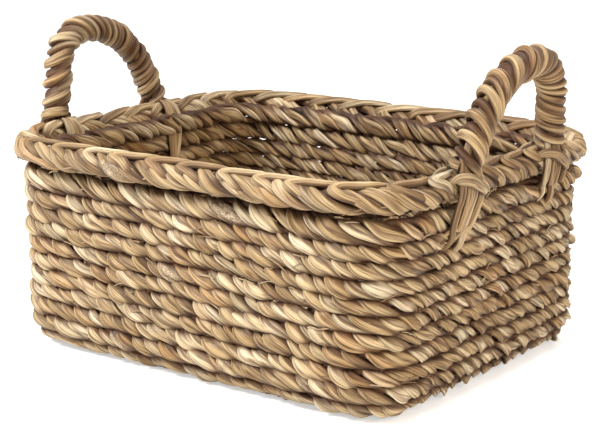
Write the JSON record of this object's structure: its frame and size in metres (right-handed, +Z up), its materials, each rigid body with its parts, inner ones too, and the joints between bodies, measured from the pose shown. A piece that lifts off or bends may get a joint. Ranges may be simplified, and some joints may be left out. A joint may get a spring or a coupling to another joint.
{
  "type": "seagrass storage basket",
  "caption": "Rectangular twined seagrass storage basket with round corners, a thick rolled rim and two bound cord handles on its short walls.",
  "frame": {"origin": "middle of the underside, where the basket rests", "axes": "+X along the basket's length towards the right handle, +Y along its width, +Z up"},
  "size_m": [0.417, 0.319, 0.2473],
  "materials": {
    "weft": "satin dried seagrass, pale straw to tan with brown and olive streaks, fine lengthwise ridges",
    "rim": "satin dried seagrass, pale straw to tan, thick rolled strands",
    "stakes": "matt dried seagrass stems, brown",
    "cords": "twisted seagrass cord, tan",
    "binding": "flat seagrass wound in tight turns, pale straw, satin"
  },
  "bodies": {
    "basket": {"base_rows_under": "weft", "base_rows_over": "weft", "base_edge_row": "weft", "weft_row_01": "weft", "weft_row_02": "weft", "weft_row_03": "weft", "weft_row_04": "weft", "weft_row_05": "weft", "weft_row_06": "weft", "weft_row_07": "weft", "weft_row_08": "weft", "weft_row_09": "weft", "weft_row_10": "weft", "upper_row": "weft", "border_row": "rim", "rim_roll": "rim", "rim_lacing": "rim", "cross_stakes": "stakes", "end_stakes": "stakes", "corner_stakes": "stakes", "left_front_cord_ends": "cords", "left_back_cord_ends": "cords", "left_inner_cord_ends": "cords", "right_front_cord_ends": "cords", "right_back_cord_ends": "cords", "right_inner_cord_ends": "cords"},
    "left_handle": {"left_handle_cords": "cords", "left_handle_binding": "binding"},
    "right_handle": {"right_handle_cords": "cords", "right_handle_binding": "binding"}
  },
  "joints": [
    {"name": "left_handle_lean", "type": "hinge", "parent": "basket", "child": "left_handle", "pos_m": [-0.1881, 0.017, 0.172], "axis": [0, -1, 0], "range_deg": [-15, 20], "stiffness_Nm_per_rad": 2},
    {"name": "right_handle_lean", "type": "hinge", "parent": "basket", "child": "right_handle", "pos_m": [0.1881, -0.006, 0.172], "axis": [0, 1, 0], "range_deg": [-15, 20], "stiffness_Nm_per_rad": 2}
  ]
}
